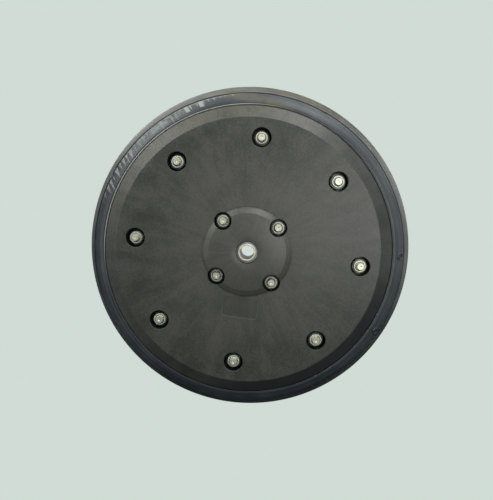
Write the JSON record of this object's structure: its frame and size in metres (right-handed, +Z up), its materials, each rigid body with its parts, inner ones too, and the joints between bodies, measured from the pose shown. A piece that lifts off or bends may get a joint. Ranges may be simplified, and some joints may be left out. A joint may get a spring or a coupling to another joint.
{
  "type": "gauge wheel",
  "caption": "Field equipment gauge wheel: hollow rubber tyre clamped between two bolted nylon rim halves, turning on sealed ball bearings around an axle sleeve.",
  "frame": {"origin": "middle of the axle bore, on its axis", "axes": "+Y along the axle, from the nut side of the wheel towards the arm side; +Z up, +X to the right when the nut side is looked at"},
  "size_m": [0.4064, 0.1285, 0.4062],
  "materials": {
    "tyre_rubber": "satin black rubber, slightly scuffed",
    "rim_nylon": "matt glass-filled nylon, dark grey",
    "sleeve_zinc": "zinc plated, pale yellow passivate",
    "fastener_zinc": "zinc plated, pale yellow passivate",
    "washer_zinc": "zinc plated, yellow passivate",
    "lock_nylon": "smooth nylon",
    "bearing_steel": "ground bearing steel",
    "ball_steel": "polished bearing steel",
    "cage_brass": "machined brass",
    "seal_rubber": "matt black rubber"
  },
  "bodies": {
    "axle": {"axle_sleeve": "sleeve_zinc", "inner_race_spacer": "bearing_steel", "front_bearing_inner_ring": "bearing_steel", "rear_bearing_inner_ring": "bearing_steel"},
    "wheel": {"front_bearing_front_seal": "seal_rubber", "front_bearing_outer_ring": "bearing_steel", "front_bearing_rear_seal": "seal_rubber", "hub_bolt_washers": "washer_zinc", "hub_bolts": "fastener_zinc", "hub_nut_inserts": "lock_nylon", "hub_nut_washers": "washer_zinc", "hub_nuts": "fastener_zinc", "inner_rim_half": "rim_nylon", "outer_bolt_washers": "washer_zinc", "outer_bolts": "fastener_zinc", "outer_nut_inserts": "lock_nylon", "outer_nut_washers": "washer_zinc", "outer_nuts": "fastener_zinc", "outer_race_spacer": "bearing_steel", "outer_rim_half": "rim_nylon", "rear_bearing_front_seal": "seal_rubber", "rear_bearing_outer_ring": "bearing_steel", "rear_bearing_rear_seal": "seal_rubber", "tyre": "tyre_rubber"},
    "front_cage": {"front_bearing_cage": "cage_brass", "front_bearing_balls": "ball_steel"},
    "rear_cage": {"rear_bearing_cage": "cage_brass", "rear_bearing_balls": "ball_steel"}
  },
  "joints": [
    {"name": "wheel_spin", "type": "hinge", "parent": "axle", "child": "wheel", "pos_m": [0, 0, 0], "axis": [0, 1, 0], "continuous": true},
    {"name": "front_cage_spin", "type": "hinge", "parent": "axle", "child": "front_cage", "pos_m": [0, -0.012, 0], "axis": [0, 1, 0], "continuous": true},
    {"name": "rear_cage_spin", "type": "hinge", "parent": "axle", "child": "rear_cage", "pos_m": [0, 0.012, 0], "axis": [0, 1, 0], "continuous": true}
  ],
  "couplings": [
    {"joint": "front_cage_spin", "follows": "wheel_spin", "ratio": 0.60242},
    {"joint": "rear_cage_spin", "follows": "wheel_spin", "ratio": 0.60242}
  ]
}
